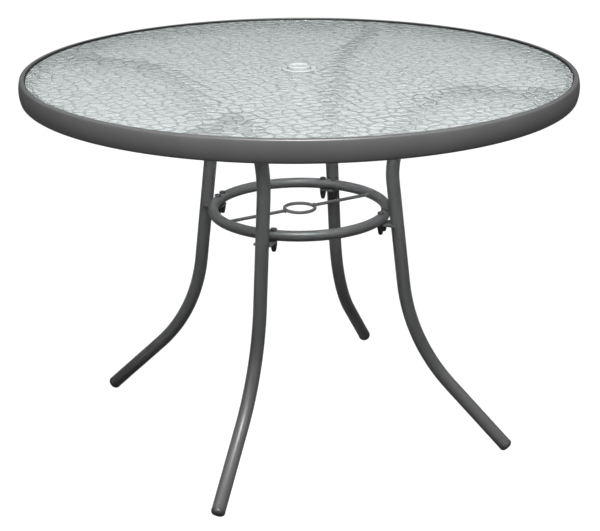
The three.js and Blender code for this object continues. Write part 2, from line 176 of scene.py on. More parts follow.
class PatioTableLegs(bpy.types.PropertyGroup):
    """Sizes of the legs, their plugs and their saddles."""

    diameter: length("Tube diameter", "Outer diameter of a leg", 0.025)
    wall: length("Tube wall", "Thickness of the tube's wall", 0.0012)
    reach: length("Reach", "Distance from the table's axis to a leg's upper end", 0.4935)
    shoulder_start: length("Shoulder start", "Distance from the axis to a leg's first bend", 0.3375)
    shoulder_radius: length("Shoulder radius", "Radius of the upper bend", 0.155)
    lean: turn("Shin lean", "Angle by which the shin leans out", 7.1)
    knee_height: length("Knee height", "Height where the lower bend starts", 0.314)
    knee_radius: length("Knee radius", "Radius of the lower bend", 0.33)
    splay: turn("Splay", "Angle of the foot end from upright", 45.7)
    collar: length("Plug collar", "Length of the plug's collar below the tube", 0.003)
    plug_step: length("Plug step", "How far the plug stands proud of the tube", 0.0002)
    plug_round: length("Plug rounding", "Radius of the plug's rounded end", 0.007)
    sole_cut: length("Sole cut", "Depth of the flat on the plug's end", 0.0014)
    spigot: length("Plug spigot", "Length of the plug inside the tube", 0.018)
    spigot_gap: length("Spigot gap", "Gap between the spigot and the tube's bore", 0.0005)
    plug_edge: length("Plug edge", "Rounding of the plug's edges", 0.0003)
    around: count("Steps round a tube", "Facets round a leg", 40)
    shoulder_steps: count("Steps of the shoulder", "Facets along the upper bend", 28)
    knee_steps: count("Steps of the knee", "Facets along the lower bend", 16)
    plug_around: count("Steps round a plug", "Facets round a foot plug", 48)
    plug_steps: count("Steps of the plug's end", "Facets across the rounded end", 10)


class PatioTableBrace(bpy.types.PropertyGroup):
    """Sizes of the hoop, its tabs, the guide loop, the rods and the fasteners."""

    rod: length("Rod diameter", "Diameter of the loop's and the rods' wire", 0.0063)
    rod_turn: turn("Rod direction", "Direction of the rods from the X axis", 7)
    weld: length("Weld bead", "Radius of the weld beads", 0.0016)
    tab_width: length("Tab width", "Width of a tab between hoop and leg", 0.034)
    tab_corner: length("Tab corner", "Rounding of a tab's inner corners", 0.007)
    bolt_hole: length("Bolt hole", "Diameter of the holes in the tabs", 0.0066)
    edge: length("Broken edge", "Rounding of pressed and cut edges", 0.0004)
    bolt: length("Bolt diameter", "Diameter of the bolts' shanks", 0.006)
    bolt_head_edge: length("Bolt head edge", "Height of the upright edge of a bolt's head", 0.0007)
    bolt_head: length("Bolt head height", "Height of a bolt's domed head", 0.0038)
    nut_collar: length("Nut collar", "Height of the straight top of a nut's cap", 0.005)
    nut_tip: length("Nut tip", "Diameter of the lower end of a nut's cap", 0.0086)
    nut_tip_round: length("Nut tip rounding", "Rounding of the lower end of a nut's cap", 0.00344)
    nut_bore: length("Nut bore", "Depth of the bore in a nut", 0.012)
    bolt_edge: length("Bolt edge", "Rounding of the bolts' edges", 0.0003)
    tab_weld: turn("Tab weld", "How far a weld runs round the leg", 120)
    hoop_around: count("Steps round the hoop", "Facets along the hoop", 160)
    hoop_section: count("Steps round the hoop's tube", "Facets round the hoop's tube", 28)
    loop_around: count("Steps round the loop", "Facets along the guide loop", 72)
    wire_section: count("Steps round the wire", "Facets round the loop's and the rods' wire", 16)
    corner_steps: count("Steps of a tab's corner", "Facets across a tab's rounded corner", 8)
    weld_section: count("Steps round a weld", "Facets round a weld bead", 12)
    rod_weld_steps: count("Steps of a rod's weld", "Facets along the beads at the rods' ends", 36)
    tab_weld_steps: count("Steps of a tab's weld", "Facets along the beads at the tabs", 24)
    notch_around: count("Steps round a notch", "Facets round the notches and holes in a tab", 48)
    bolt_around: count("Steps round a bolt", "Facets round a bolt and a nut", 40)
    dome_steps: count("Steps of a dome", "Facets from edge to top of a bolt's head", 12)
    tip_steps: count("Steps of a nut's tip", "Facets across a nut's rounded tip", 6)


class PatioTableColours(bpy.types.PropertyGroup):
    """Colours of the finishes."""

    coat: colour("Powder coat", "Charcoal powder coat on rim, legs and brace", "404040")
    coat_light: colour("Powder coat, lighter", "Lighter patches in the powder coat", "494949")
    glass: colour("Glass", "Faint green of the pebbled glass", "D6DBDB")
    # Painted shade: the glass's creases are painted darker, for the shade that refraction shows
    # there
    painted_crease_shade: colour("Glass crease", "Darker green in the creases of the glass", "7E8785")
    # Painted shade: near black on the rim's wall round the glass
    seam: colour("Seam", "Thinly coated wall of the rim round the glass", "0C0C0C")
    seal: colour("Seal", "Soft strip round the glass", "1E1F20")
    ring: colour("Hole ring", "Milky plastic of the ring and the cap", "BCC1C1")
    plug: colour("Foot plug", "Dark plastic of the foot plugs", "2A2A2A")
    bolt: colour("Bolt", "Dark plating of the bolts", "3C3C3D")
    nut: colour("Nut cap", "Black plastic over the nuts", "171717")
    floor: colour("Floor", "Own colour of the studio floor, apart from its glow", "303030")


class PatioTableStage(bpy.types.PropertyGroup):
    """Camera and lights."""

    distance: length("Camera distance", "Level distance from the table's axis to the camera", 2.536)
    height: length("Camera height", "Height of the camera above the floor", 1.2611)
    azimuth: turn("Camera azimuth", "Direction of the camera round the table", -24.612)
    pitch: turn("Camera pitch", "Angle of the camera above the horizon", -20.30)
    roll: turn("Camera roll", "Tilt of the camera about its own axis", -0.29)
    lens: FloatProperty(name="Lens", description="Focal length in millimetres", default=84.0, min=1)
    sensor: FloatProperty(name="Sensor", description="Width in millimetres", default=36.0, min=1)
    softbox: length("Softbox", "Diameter of the round softboxes", 1.4)
    aim: length("Light aim", "Height on the table's axis that the softboxes point at", 0.4977)
    floor_size: length("Floor size", "Side of the studio floor", 60)
    floor_drop: length("Floor drop", "How far the floor lies below the feet", 0.0002)


# Modelling helpers


def deselect():
    """Leaves edit mode with nothing selected."""
    if bpy.context.mode != "OBJECT":
        bpy.ops.object.mode_set(mode="OBJECT")
    bpy.ops.object.select_all(action="DESELECT")


def add(primitive, **options):
    """Adds a primitive, applies its place and goes on in edit mode with all of it selected."""
    deselect()
    primitive(align="WORLD", **options)
    bpy.ops.object.transform_apply(location=True, rotation=True, scale=True)
    bpy.ops.object.mode_set(mode="EDIT")
    bpy.ops.mesh.select_mode(type="VERT")
    bpy.ops.mesh.select_all(action="SELECT")
    return bpy.context.active_object


def draw_outline(points, closed=True):
    """Draws an outline by extruding one vertex from point to point."""
    piece = add(bpy.ops.mesh.primitive_plane_add, size=1)
    bpy.ops.mesh.merge(type="CENTER")
    bpy.ops.transform.translate(value=points[0])
    ends = points[1:] + points[:1] if closed else points[1:]
    for start, end in zip(points, ends):
        bpy.ops.mesh.extrude_vertices_move(TRANSFORM_OT_translate={"value": end - start})
    clean()
    return piece


def clean():
    """Merges doubles and turns every face outwards."""
    bpy.ops.mesh.select_all(action="SELECT")
    bpy.ops.mesh.remove_doubles(threshold=MERGE_DISTANCE)
    bpy.ops.mesh.normals_make_consistent(inside=False)


def profile(radius, height):
    """A point of a profile that is going to be spun round the upright axis."""
    return Vector((radius, 0, height))


def arc(centre, radius, start, end, steps):
    """Points of an arc in a profile, between two angles in degrees."""
    turns = [math.radians(start + (end - start) * i / steps) for i in range(steps + 1)]
    return [centre + radius * Vector((math.cos(t), 0, math.sin(t))) for t in turns]


def spin(points, steps, closed=True):
    """Spins an outline right round the upright axis."""
    piece = draw_outline(points, closed)
    bpy.ops.mesh.spin(steps=steps, angle=math.tau, center=(0, 0, 0), axis=(0, 0, 1))
    clean()
    return piece


def pick(piece):
    """Selects one piece and nothing else."""
    deselect()
    piece.select_set(True)
    bpy.context.view_layer.objects.active = piece


def modify(piece, kind, **settings):
    """Adds a modifier with its settings and applies it."""
    pick(piece)
    bpy.ops.object.modifier_add(type=kind)
    modifier = piece.modifiers[-1]
    for key, value in settings.items():
        setattr(modifier, key, value)
    bpy.ops.object.modifier_apply(modifier=modifier.name)


def break_edges(piece, width, segments=2):
    """Rounds all sharp edges of a piece a little."""
    modify(piece, "BEVEL", width=width, segments=segments, limit_method="ANGLE")


def copy_to(piece, matrix):
    """Copies a piece, mesh and all, and applies a new place to the copy."""
    pick(piece)
    bpy.ops.object.duplicate(linked=False)
    twin = bpy.context.active_object
    move_to(twin, matrix)
    return twin


def move_to(piece, matrix):
    """Moves a piece and applies its place."""
    pick(piece)
    piece.matrix_world = matrix
    bpy.ops.object.transform_apply(location=True, rotation=True, scale=True)


def discard(piece):
    """Deletes a piece that only served to make others."""
    deselect()
    bpy.data.objects.remove(piece)


def finish(piece, name, slot, nodes=(), body=TABLE_BODY, sharp=40):
    """Names a piece, shades it, gives it its slot's material and sets it on its body."""
    pick(piece)
    bpy.ops.object.shade_smooth_by_angle(angle=math.radians(sharp))
    piece.name = piece.data.name = name
    piece.data.materials.clear()
    surface = FINISHES[slot]
    piece.data.materials.append(bpy.data.materials.get(surface) or make_material(surface))
    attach(piece, body)
    if nodes:
        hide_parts(*nodes)


def centre_of(node):
    """Centre of a node's box."""
    low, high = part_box(node)
    return (low + high) / 2


def radii_of(node):
    """Distances of a node's corners from the table's axis."""
    return [math.hypot(v.co.x, v.co.y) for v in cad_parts[node].data.vertices]


# Materials


def add_node(tree, kind, inputs=None, **settings):
    """Adds a node, sets its properties, and sets or links its inputs."""
    node = tree.nodes.new(kind)
    for key, value in settings.items():
        setattr(node, key, value)
    for key, value in (inputs or {}).items():
        if isinstance(value, bpy.types.NodeSocket):
            tree.links.new(value, node.inputs[key])
        else:
            node.inputs[key].default_value = value
    return node


def new_material(name, shader_inputs):
    """A material with one shader, and the tree, shader and object coordinates to build on."""
    material = bpy.data.materials.new(name)
    material.use_nodes = True
    tree = material.node_tree
    shader = tree.nodes["Principled BSDF"]
    for key, value in shader_inputs.items():
        shader.inputs[key].default_value = value
    place = add_node(tree, "ShaderNodeTexCoord").outputs["Object"]
    return material, tree, shader, place


def per_metre(millimetres):
    """Noise scale whose features are about this many millimetres apart."""
    return 1000 / millimetres


def crease_distance(tree, place, size):
    """Distance to the nearest crease between pebbles, in pebbles, for a mesh or a material."""
    # Creases wander by up to half a pebble, in waves about two pebbles long
    wander = add_node(
        tree,
        "ShaderNodeTexNoise",
        {"Vector": place, "Scale": 0.5 / size, "Detail": 0.0},
        noise_dimensions="2D",
    )
    warped = add_node(
        tree,
        "ShaderNodeVectorMath",
        {0: wander.outputs["Color"], 1: (0.5 * size, 0.5 * size, 0), 2: place},
        operation="MULTIPLY_ADD",
    )
    cells = add_node(
        tree,
        "ShaderNodeTexVoronoi",
        {"Vector": warped.outputs["Vector"], "Scale": 1 / size, "Randomness": 0.7},
        feature="DISTANCE_TO_EDGE",
        voronoi_dimensions="2D",
    )
    return cells.outputs["Distance"]


def pebbled_face(size, depth, face):
    """Mesh nodes that press creases between pebbles into all that lies above a height."""
    tree = bpy.data.node_groups.new("pebbled_face", "GeometryNodeTree")
    for way in ("INPUT", "OUTPUT"):
        tree.interface.new_socket("Mesh", in_out=way, socket_type="NodeSocketGeometry")
    start = add_node(tree, "NodeGroupInput")
    place = add_node(tree, "GeometryNodeInputPosition").outputs["Position"]
    height = add_node(tree, "ShaderNodeSeparateXYZ", {0: place}).outputs["Z"]
    above = add_node(tree, "ShaderNodeMath", {0: height, 1: face}, operation="GREATER_THAN")
    dome = add_node(
        tree,
        "ShaderNodeMapRange",
        {
            "Value": crease_distance(tree, place, size),
            "From Max": 0.4,
            "To Min": -depth,
            "To Max": 0.0,
        },
        interpolation_type="SMOOTHSTEP",
    )
    drop = add_node(tree, "ShaderNodeCombineXYZ", {"Z": dome.outputs["Result"]})
    moved = add_node(
        tree,
        "GeometryNodeSetPosition",
        {
            "Geometry": start.outputs["Mesh"],
            "Selection": above.outputs["Value"],
            "Offset": drop.outputs["Vector"],
        },
    )
    add_node(tree, "NodeGroupOutput", {"Mesh": moved.outputs["Geometry"]})
    return tree


def powder_coated_steel(colours):
    """Baked powder coat: satin, with a soft orange peel, a slightly uneven tone and painted shade
    on the wall round the glass.
    """
    material, tree, shader, place = new_material("powder_coated_steel", {"Specular IOR Level": 0.4})
    tone = add_node(
        tree,
        "ShaderNodeTexNoise",
        {"Vector": place, "Scale": per_metre(60), "Detail": 3.0},
    )
    mix = add_node(
        tree,
        "ShaderNodeMix",
        {"Factor": tone.outputs["Fac"], "A": (*colours.coat, 1), "B": (*colours.coat_light, 1)},
        data_type="RGBA",
    )
    # The rim's narrow wall round the glass is painted near black: painted shade, which reads as a
    # black line
    axes = add_node(tree, "ShaderNodeSeparateXYZ", {0: place}).outputs
    level = add_node(tree, "ShaderNodeCombineXYZ", {"X": axes["X"], "Y": axes["Y"]})
    flat = level.outputs["Vector"]
    radius = add_node(tree, "ShaderNodeVectorMath", {0: flat}, operation="LENGTH").outputs["Value"]
    # Painted shade: a mask for the wall round the glass, inside the gasket's edge and above its
    # foot
    edge, foot = GASKET_HIGH.x + PAINTED_SHADE_REACH, GASKET_HIGH.z - PAINTED_SHADE_DEPTH
    inside = add_node(tree, "ShaderNodeMath", {0: radius, 1: edge}, operation="LESS_THAN")
    raised = add_node(tree, "ShaderNodeMath", {0: axes["Z"], 1: foot}, operation="GREATER_THAN")
    seam = add_node(
        tree,
        "ShaderNodeMath",
        {0: inside.outputs["Value"], 1: raised.outputs["Value"]},
        operation="MULTIPLY",
    )
    coat = add_node(
        tree,
        "ShaderNodeMix",
        {"Factor": seam.outputs["Value"], "A": mix.outputs["Result"], "B": (*colours.seam, 1)},
        data_type="RGBA",
    )
    # The real peel is about 1 mm, and is drawn at 2.5 mm so that it shows
    peel = add_node(
        tree,
        "ShaderNodeTexNoise",
        {"Vector": place, "Scale": per_metre(2.5), "Detail": 2.0},
    ).outputs["Fac"]
    sheen = add_node(tree, "ShaderNodeMapRange", {"Value": peel, "To Min": 0.3, "To Max": 0.42})
    bump = add_node(tree, "ShaderNodeBump", {"Height": peel, "Strength": 0.25, "Distance": 0.0003})
    tree.links.new(coat.outputs["Result"], shader.inputs["Base Color"])
    tree.links.new(sheen.outputs["Result"], shader.inputs["Roughness"])
    tree.links.new(bump.outputs["Normal"], shader.inputs["Normal"])
    return material


def obscure_tempered_glass(colours, size):
    """Rolled obscure glass: faint green, clear but pebbled, so that what is under it blurs."""
    material, tree, shader, place = new_material(
        "obscure_tempered_glass", {"IOR": 1.5, "Transmission Weight": 0.85, "Roughness": 0.08}
    )
    # Only the upper face is pebbled; the lower one is smooth, so that creases aren't seen twice
    axes = add_node(tree, "ShaderNodeSeparateXYZ", {0: place}).outputs
    skin = GLASS_HIGH.z - PEBBLED_SKIN
    below = add_node(tree, "ShaderNodeMath", {0: axes["Z"], 1: skin}, operation="LESS_THAN")
    distance = add_node(
        tree,
        "ShaderNodeMath",
        {0: crease_distance(tree, place, size), 1: below.outputs["Value"]},
        operation="MAXIMUM",
    ).outputs["Value"]
    # A crease is under 1 mm wide, and is drawn at about 2 mm so that it shows; its darker colour is
    # painted shade
    painted_crease_shade = add_node(
        tree,
        "ShaderNodeMapRange",
        {"Value": distance, "From Max": 0.1, "To Min": 1.0, "To Max": 0.0},
        interpolation_type="SMOOTHSTEP",
    )
    mix = add_node(
        tree,
        "ShaderNodeMix",
        {"Factor": painted_crease_shade.outputs["Result"], "A": (*colours.glass, 1), "B": (*colours.painted_crease_shade, 1)},
        data_type="RGBA",
    )
    dome = add_node(
        tree,
        "ShaderNodeMapRange",
        {"Value": distance, "From Max": 0.2},
        interpolation_type="SMOOTHSTEP",
    )
    # Rolling leaves a faint ripple, about 5 mm long, on the pebbles
    ripple = add_node(
        tree,
        "ShaderNodeTexNoise",
        {"Vector": place, "Scale": per_metre(5), "Detail": 2.0},
    )
    height = add_node(
        tree,
        "ShaderNodeMath",
        {0: ripple.outputs["Fac"], 1: 0.05, 2: dome.outputs["Result"]},
        operation="MULTIPLY_ADD",
    ).outputs["Value"]
    bump = add_node(tree, "ShaderNodeBump", {"Height": height, "Strength": 0.4, "Distance": 0.0009})
    tree.links.new(mix.outputs["Result"], shader.inputs["Base Color"])
    tree.links.new(bump.outputs["Normal"], shader.inputs["Normal"])
    # Lamps shine through the pane on to what is under it, as they do through real glass
    path = add_node(tree, "ShaderNodeLightPath")
    passing = add_node(tree, "ShaderNodeBsdfTransparent", {"Color": THROUGH_GLASS})
    surface = add_node(
        tree,
        "ShaderNodeMixShader",
        {0: path.outputs["Is Shadow Ray"], 1: shader.outputs["BSDF"], 2: passing.outputs["BSDF"]},
    )
    tree.links.new(surface.outputs["Shader"], tree.nodes["Material Output"].inputs["Surface"])
    return material


def moulded(name, tint, roughness, grain, depth, inputs=None):
    """Moulded or plated surface with one colour, a faint grain and uneven gloss."""
    material, tree, shader, place = new_material(name, {"Base Color": (*tint, 1), **(inputs or {})})
    noise = add_node(
        tree,
        "ShaderNodeTexNoise",
        {"Vector": place, "Scale": per_metre(grain), "Detail": 3.0},
    )
    height = noise.outputs["Fac"]
    ends = {"To Min": roughness - 0.06, "To Max": roughness + 0.08}
    gloss = add_node(tree, "ShaderNodeMapRange", {"Value": height, **ends})
    bump = add_node(tree, "ShaderNodeBump", {"Height": height, "Strength": 0.3, "Distance": depth})
    tree.links.new(gloss.outputs["Result"], shader.inputs["Roughness"])
    tree.links.new(bump.outputs["Normal"], shader.inputs["Normal"])
    return material


def make_material(name):
    """Makes one of the named finishes."""
    scene = bpy.context.scene
    colours = scene.patio_colours
    if name == "powder_coated_steel":
        return powder_coated_steel(colours)
    if name == "obscure_tempered_glass":
        return obscure_tempered_glass(colours, scene.patio_top.pebble_size)
    # Colour, roughness, grain in millimetres, depth of the grain, and what else the shader needs
    surfaces = {
        # Soft PVC: dull and dark
        "soft_pvc": (colours.seal, 0.62, 3, 0.0002),
        # Natural polypropylene: milky, lets some light in, smooth from the mould
        "natural_polypropylene": (colours.ring, 0.24, 6, 0.0001, {"Transmission Weight": 0.5}),
        # Polyethylene: dark, waxy, with a faint moulded grain
        "moulded_polyethylene": (colours.plug, 0.5, 2, 0.0002),
        # Black zinc plating: dark metal with a dull shine
        "black_zinc_steel": (colours.bolt, 0.36, 2, 0.0001, {"Metallic": 0.7}),
        # Nylon: black, with a soft shine
        "moulded_nylon": (colours.nut, 0.42, 2, 0.0001),
    }
    return moulded(name, *surfaces[name])


# Pieces


class PieceOperator(bpy.types.Operator):
    """Shared by the operators that add pieces."""

    bl_idname = "patio_table.piece"
    bl_label = "Piece"
    bl_options = {"REGISTER", "UNDO"}

    def execute(self, context):
        self.build(context)
        return {"FINISHED"}


class AddRim(PieceOperator):
    """Rolls the rim band: hem, bulging face, lip, wall and the ledge that carries the glass"""

    bl_idname = "patio_table.rim"
    bl_label = "Rim"

    def build(self, context):
        top = context.scene.patio_top
        radius, low, high = RIM_HIGH.x, RIM_LOW.z, RIM_HIGH.z
        half = (high - low) / 2
        face = profile(radius - top.face_radius, low + half)
        reach = top.face_radius - top.corner_radius
        rise = math.asin((half - top.corner_radius) / reach)
        face_end = math.degrees(rise)
        corner = face.x + reach * math.cos(rise)
        low_corner = profile(corner, low + top.corner_radius)
        high_corner = profile(corner, high - top.corner_radius)
        inner_corner = top.corner_radius - top.sheet
        inner_face = top.face_radius - top.sheet
        lip = radius - top.lip_width
        lip_round = profile(lip + top.lip_round, high - top.lip_round)
        ledge_top = GASKET_LOW.z - (GLASS_LOW.z - GASKET_LOW.z - top.gasket_wall)
        ledge = ledge_inner()
        wall = lip + top.sheet
        rim = spin(
            [
                profile(corner - top.hem_width, low),
                *arc(low_corner, top.corner_radius, -90, -face_end, top.round_steps),
                *arc(face, top.face_radius, -face_end, face_end, top.face_steps)[1:-1],
                *arc(high_corner, top.corner_radius, face_end, 90, top.round_steps),
                *arc(lip_round, top.lip_round, 90, 180, top.round_steps),
                profile(lip, ledge_top),
                profile(ledge, ledge_top),
                profile(ledge, ledge_top - top.sheet),
                profile(wall, ledge_top - top.sheet),
                profile(wall, high - top.sheet),
                *arc(high_corner, inner_corner, 90, face_end, top.inner_steps),
                *arc(face, inner_face, face_end, -face_end, top.face_steps)[1:-1],
                *arc(low_corner, inner_corner, -face_end, -90, top.inner_steps),
                profile(corner - top.hem_width, low + top.sheet),
            ],
            top.around,
        )
        break_edges(rim, top.sheet / 5)
        finish(rim, "rim_band_coated", "coated_steel", ["rim_band"])


def ledge_inner():
    """Inner radius of the rim's ledge, which the gasket's seat shares."""
    return min(radii_of("glass_gasket"))


class AddGlass(PieceOperator):
    """Casts the glass pane: ground edges and a pebbled upper face with creases"""

    bl_idname = "patio_table.glass"
    bl_label = "Glass"

    def build(self, context):
        top = context.scene.patio_top
        low, high = GLASS_LOW.z, GLASS_HIGH.z
        radius = GLASS_HIGH.x
        hole = min(radii_of("glass_top"))
        bevel = top.glass_bevel
        pane = draw_outline(
            [
                profile(hole, low),
                profile(radius - bevel, low),
                profile(radius, low + bevel),
                profile(radius, high - bevel),
                profile(radius - bevel, high),
                profile(hole, high),
            ]
        )
        self.select_face(pane, high)
        bpy.ops.mesh.subdivide(number_cuts=top.glass_rings)
        bpy.ops.mesh.select_all(action="SELECT")
        bpy.ops.mesh.spin(steps=top.glass_around, angle=math.tau, center=(0, 0, 0), axis=(0, 0, 1))
        clean()
        face = pebbled_face(top.pebble_size, top.pebble_depth, high - MERGE_DISTANCE)
        bpy.ops.object.mode_set(mode="OBJECT")
        modify(pane, "NODES", node_group=face)
        finish(pane, "glass_top_pebbled", "textured_glass", ["glass_top"])

    def select_face(self, pane, height):
        """Selects the upper face of the pane, in edit mode."""
        bpy.ops.object.mode_set(mode="OBJECT")
        for element in (*pane.data.polygons, *pane.data.edges):
            element.select = False
        for vertex in pane.data.vertices:
            vertex.select = abs(vertex.co.z - height) < MERGE_DISTANCE
        bpy.ops.object.mode_set(mode="EDIT")


class AddGasket(PieceOperator):
    """Lays the soft strip between the glass and the rim"""

    bl_idname = "patio_table.gasket"
    bl_label = "Gasket"

    def build(self, context):
        top = context.scene.patio_top
        outer, inner = GASKET_HIGH.x, ledge_inner()
        wall = top.gasket_wall
        gasket = spin(
            [
                profile(inner, GASKET_LOW.z),
                profile(outer, GASKET_LOW.z),
                profile(outer, GASKET_HIGH.z),
                profile(outer - wall, GASKET_HIGH.z),
                profile(outer - wall, GASKET_LOW.z + wall),
                profile(inner, GASKET_LOW.z + wall),
            ],
            top.around,
        )
        break_edges(gasket, wall / 5)
        finish(gasket, "glass_gasket_soft", "gasket_rubber", ["glass_gasket"])


class AddHoleRing(PieceOperator):
    """Moulds the flanged sleeve in the glass and the seat in its mouth"""

    bl_idname = "patio_table.hole_ring"
    bl_label = "Hole ring"

    def build(self, context):
        top = context.scene.patio_top
        bore, seat_radius = top.pole_bore / 2, top.cap_seat / 2
        sleeve, flange = top.sleeve / 2, RING_HIGH.x
        seat = CAP_LOW.z + top.cap_skirt - TOUCH_GAP
        under_flange = RING_HIGH.z - top.flange
        snap = GLASS_LOW.z - TOUCH_GAP
        edge = top.flange_round
        ring = spin(
            [
                profile(bore, RING_LOW.z),
                profile(sleeve - top.barb, RING_LOW.z),
                profile(sleeve - top.barb, snap - top.barb_length),
                profile(sleeve + top.barb, snap),
                profile(sleeve, snap),
                profile(sleeve, under_flange),
                profile(flange, under_flange),
                *arc(profile(flange - edge, RING_HIGH.z - edge), edge, 0, 90, top.round_steps),
                profile(seat_radius, RING_HIGH.z),
                profile(seat_radius, seat),
                profile(bore, seat),
            ],
            top.ring_around,
        )
        break_edges(ring, top.moulded_edge)
        finish(ring, "hole_ring_moulded", "clear_plastic", ["hole_ring"])


class AddHoleCap(PieceOperator):
    """Moulds the lift-out cap with its dished head and thin skirt"""

    bl_idname = "patio_table.hole_cap"
    bl_label = "Hole cap"

    def build(self, context):
        top = context.scene.patio_top
        head, high = CAP_HIGH.x, CAP_HIGH.z
        skirt = top.pole_bore / 2 - top.cap_clearance
        inside, crown = skirt - top.cap_wall, high - top.cap_crown
        seat = CAP_LOW.z + top.cap_skirt
        edge = top.cap_round
        dish = profile(head - top.cap_rim, high - top.cap_dish)
        cap = spin(
            [
                profile(0, crown),
                profile(inside, crown),
                profile(inside, CAP_LOW.z),
                profile(skirt, CAP_LOW.z),
                profile(skirt, seat),
                profile(head, seat),
                *arc(profile(head - edge, high - edge), edge, 0, 90, top.cap_steps),
                *arc(dish, top.cap_dish, 90, 180, top.cap_steps),
                profile(0, dish.z),
            ],
            top.ring_around,
            closed=False,
        )
        break_edges(cap, top.moulded_edge)
        finish(cap, "hole_cap_moulded", "clear_plastic", ["hole_cap"], body=CAP_BODY)


def heading(degrees):
    """A leg's direction in its upright plane: 0 runs inward and 90 straight down."""
    angle = math.radians(degrees)
    return Vector((-math.cos(angle), 0, -math.sin(angle)))


def go_straight(direction, distance):
    """Extrudes what is selected along a line."""
    bpy.ops.mesh.extrude_region_move(TRANSFORM_OT_translate={"value": direction * distance})


def go_round(centre, degrees, steps):
    """Sweeps what is selected round a bend's centre."""
    bpy.ops.mesh.spin(steps=steps, angle=math.radians(degrees), center=centre, axis=(0, 1, 0))


def leg_path(legs):
    """Shoulder centre, shin top and length, knee centre, knee end and foot length, at azimuth 0."""
    lean, splay = math.degrees(legs.lean), math.degrees(legs.splay)
    top = LEG_HIGH.z - legs.diameter / 2
    shoulder = Vector((legs.shoulder_start, 0, top - legs.shoulder_radius))
    shin_top = shoulder - heading(180 + lean) * legs.shoulder_radius
    shin = (shin_top.z - legs.knee_height) / math.cos(legs.lean)
    knee = shin_top + heading(90 + lean) * shin + heading(180 + lean) * legs.knee_radius
    knee_end = knee - heading(180 + splay) * legs.knee_radius
    foot = (knee_end.z - foot_end_height(legs)) / math.cos(legs.splay)
    return shoulder, shin_top, shin, knee, knee_end, foot


class AddLegs(PieceOperator):
    """Bends the four leg tubes from rim to foot"""

    bl_idname = "patio_table.legs"
    bl_label = "Legs"

    def build(self, context):
        leg = self.bend(context.scene.patio_legs)
        for corner, azimuth in CORNERS.items():
            twin = copy_to(leg, Matrix.Rotation(azimuth, 4, "Z"))
            finish(twin, f"leg_{corner}_bent", "coated_steel", [f"leg_{corner}"])
        discard(leg)

    def bend(self, legs):
        """One leg at azimuth 0, bent as on a tube bender: straight, shoulder, shin, knee, splay."""
        radius = legs.diameter / 2
        leg = add(
            bpy.ops.mesh.primitive_circle_add,
            vertices=legs.around,
            radius=radius,
            location=(legs.reach, 0, LEG_HIGH.z - radius),
            rotation=(0, math.radians(90), 0),
        )
        lean, splay = math.degrees(legs.lean), math.degrees(legs.splay)
        shoulder, _, shin, knee, _, foot = leg_path(legs)
        go_straight(heading(0), legs.reach - legs.shoulder_start)
        go_round(shoulder, 90 + lean, legs.shoulder_steps)
        go_straight(heading(90 + lean), shin)
        go_round(knee, splay - lean, legs.knee_steps)
        go_straight(heading(90 + splay), foot)
        clean()
        modify(leg, "SOLIDIFY", thickness=legs.wall, offset=-1, use_even_offset=True)
        break_edges(leg, legs.wall / 4)
        return leg


def foot_end_height(legs):
    """Height of a tube's lower end, so that the plug on it stands on its cut sole."""
    inset = legs.diameter / 2 + legs.plug_step - legs.plug_round
    drop = legs.collar * math.cos(legs.splay) + inset * math.sin(legs.splay) + legs.plug_round
    return drop - legs.sole_cut


class AddFootPlugs(PieceOperator):
    """Moulds the foot plugs: a collar, a rounded end and a flat sole on the floor"""

    bl_idname = "patio_table.foot_plugs"
    bl_label = "Foot plugs"

    def build(self, context):
        legs = context.scene.patio_legs
        collar = legs.diameter / 2 + legs.plug_step
        spigot = legs.diameter / 2 - legs.wall - legs.spigot_gap
        rounding = legs.plug_round
        plug = spin(
            [
                profile(0, -legs.spigot),
                profile(spigot, -legs.spigot),
                profile(spigot, TOUCH_GAP),
                profile(collar, TOUCH_GAP),
                *arc(profile(collar - rounding, legs.collar), rounding, 0, 90, legs.plug_steps),
                profile(0, legs.collar + rounding),
            ],
            legs.plug_around,
            closed=False,
        )
        break_edges(plug, legs.plug_edge)
        _, _, _, _, knee_end, foot = leg_path(legs)
        end = knee_end + heading(90 + math.degrees(legs.splay)) * foot
        move_to(plug, Matrix.Translation(end) @ Matrix.Rotation(math.pi - legs.splay, 4, "Y"))
        bpy.ops.object.mode_set(mode="EDIT")
        bpy.ops.mesh.select_all(action="SELECT")
        bpy.ops.mesh.bisect(plane_co=(0, 0, 0), plane_no=(0, 0, 1), use_fill=True, clear_inner=True)
        clean()
        for corner, azimuth in CORNERS.items():
            twin = copy_to(plug, Matrix.Rotation(azimuth, 4, "Z"))
            finish(twin, f"foot_plug_{corner}_moulded", "foot_plastic", [f"foot_plug_{corner}"])
        discard(plug)


class AddSaddles(PieceOperator):
    """Breaks the edges of the pressed saddles that hang the legs under the rim"""

    bl_idname = "patio_table.saddles"
    bl_label = "Saddles"

    def build(self, context):
        brace = context.scene.patio_brace
        for corner in CORNERS:
            node = f"rim_saddle_{corner}"
            saddle = copy_to(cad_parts[node], Matrix.Identity(4))
            bpy.ops.object.mode_set(mode="EDIT")
            bpy.ops.mesh.select_all(action="SELECT")
            bpy.ops.mesh.remove_doubles(threshold=MERGE_DISTANCE)
            bpy.ops.mesh.dissolve_limited(angle_limit=math.radians(2))
            break_edges(saddle, brace.edge)
            finish(saddle, f"{node}_pressed", "coated_steel", [node])


def hoop_tube_radius():
    """The hoop lies on its tabs, and the loop's centre is level with the hoop's."""
    return centre_of("umbrella_loop").z - TAB_HIGH.z - TOUCH_GAP


def ring_of(place, radius, section_steps, steps):
    """A closed ring of round bar, spun from a section at a place."""
    ring = add(
        bpy.ops.mesh.primitive_circle_add,
        vertices=section_steps,
        radius=radius,
        location=place,
        rotation=(math.radians(90), 0, 0),
    )
    bpy.ops.mesh.spin(steps=steps, angle=math.tau, center=(0, 0, 0), axis=(0, 0, 1))
    clean()
    return ring


